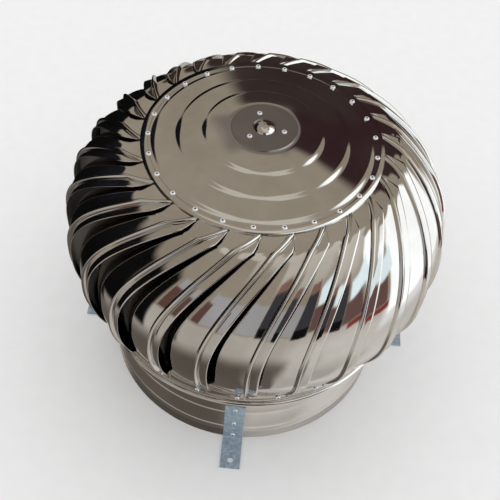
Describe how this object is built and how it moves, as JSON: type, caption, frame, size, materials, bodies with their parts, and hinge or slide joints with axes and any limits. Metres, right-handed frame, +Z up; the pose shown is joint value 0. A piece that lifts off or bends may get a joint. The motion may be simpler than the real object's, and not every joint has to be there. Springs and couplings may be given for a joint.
{
  "type": "roof turbine ventilator",
  "caption": "Wind-driven roof turbine ventilator: a ball of overlapping curved vanes under a stepped cap turns on a fixed spindle above a round throat with strap feet.",
  "frame": {"origin": "on the turning axis, level with the undersides of the feet, at the centre of the foot bolt circle", "axes": "+Z up along the turning axis; the feet lie on +X, +Y, -X and -Y"},
  "size_m": [0.5065, 0.5069, 0.4288],
  "materials": {
    "vane_stainless": "mirror-polished stainless sheet",
    "cap_stainless": "mirror-polished stainless sheet",
    "band_stainless": "bright rolled stainless sheet",
    "satin_stainless": "satin stainless plate",
    "galvanised_steel": "galvanised strip, faint spangle",
    "zinc_plated_steel": "zinc plated steel",
    "rivet_aluminium": "bright blind rivets",
    "bearing_steel": "ground bearing steel with rubber seals",
    "spindle_steel": "turned steel"
  },
  "bodies": {
    "base": {"base_collar": "band_stainless", "bearing_spacer": "spindle_steel", "foot_rivets": "rivet_aluminium", "foot_strap_1": "galvanised_steel", "foot_strap_2": "galvanised_steel", "foot_strap_3": "galvanised_steel", "foot_strap_4": "galvanised_steel", "lower_bearing_inner": "bearing_steel", "spindle": "spindle_steel", "spindle_clip": "spindle_steel", "spindle_nut": "spindle_steel", "spindle_washer": "spindle_steel", "strut_bar_lower": "zinc_plated_steel", "strut_bar_upper": "zinc_plated_steel", "upper_bearing_inner": "bearing_steel"},
    "rotor": {"cap_disc": "cap_stainless", "cap_rivets": "rivet_aluminium", "dust_dome": "cap_stainless", "hub_plate": "satin_stainless", "hub_rivets": "rivet_aluminium", "lower_bearing_outer": "bearing_steel", "lower_housing": "zinc_plated_steel", "rotor_ring": "band_stainless", "rotor_spider": "zinc_plated_steel", "spider_rivets": "rivet_aluminium", "upper_bearing_outer": "bearing_steel", "upper_housing": "zinc_plated_steel", "vane_01": "vane_stainless", "vane_02": "vane_stainless", "vane_03": "vane_stainless", "vane_04": "vane_stainless", "vane_05": "vane_stainless", "vane_06": "vane_stainless", "vane_07": "vane_stainless", "vane_08": "vane_stainless", "vane_09": "vane_stainless", "vane_10": "vane_stainless", "vane_11": "vane_stainless", "vane_12": "vane_stainless", "vane_13": "vane_stainless", "vane_14": "vane_stainless", "vane_15": "vane_stainless", "vane_16": "vane_stainless", "vane_17": "vane_stainless", "vane_18": "vane_stainless", "vane_19": "vane_stainless", "vane_20": "vane_stainless", "vane_21": "vane_stainless", "vane_22": "vane_stainless", "vane_23": "vane_stainless", "vane_24": "vane_stainless", "vane_25": "vane_stainless"}
  },
  "joints": [
    {"name": "rotor_spin", "type": "hinge", "parent": "base", "child": "rotor", "pos_m": [0, 0, 0.165], "axis": [0, 0, 1], "continuous": true}
  ]
}
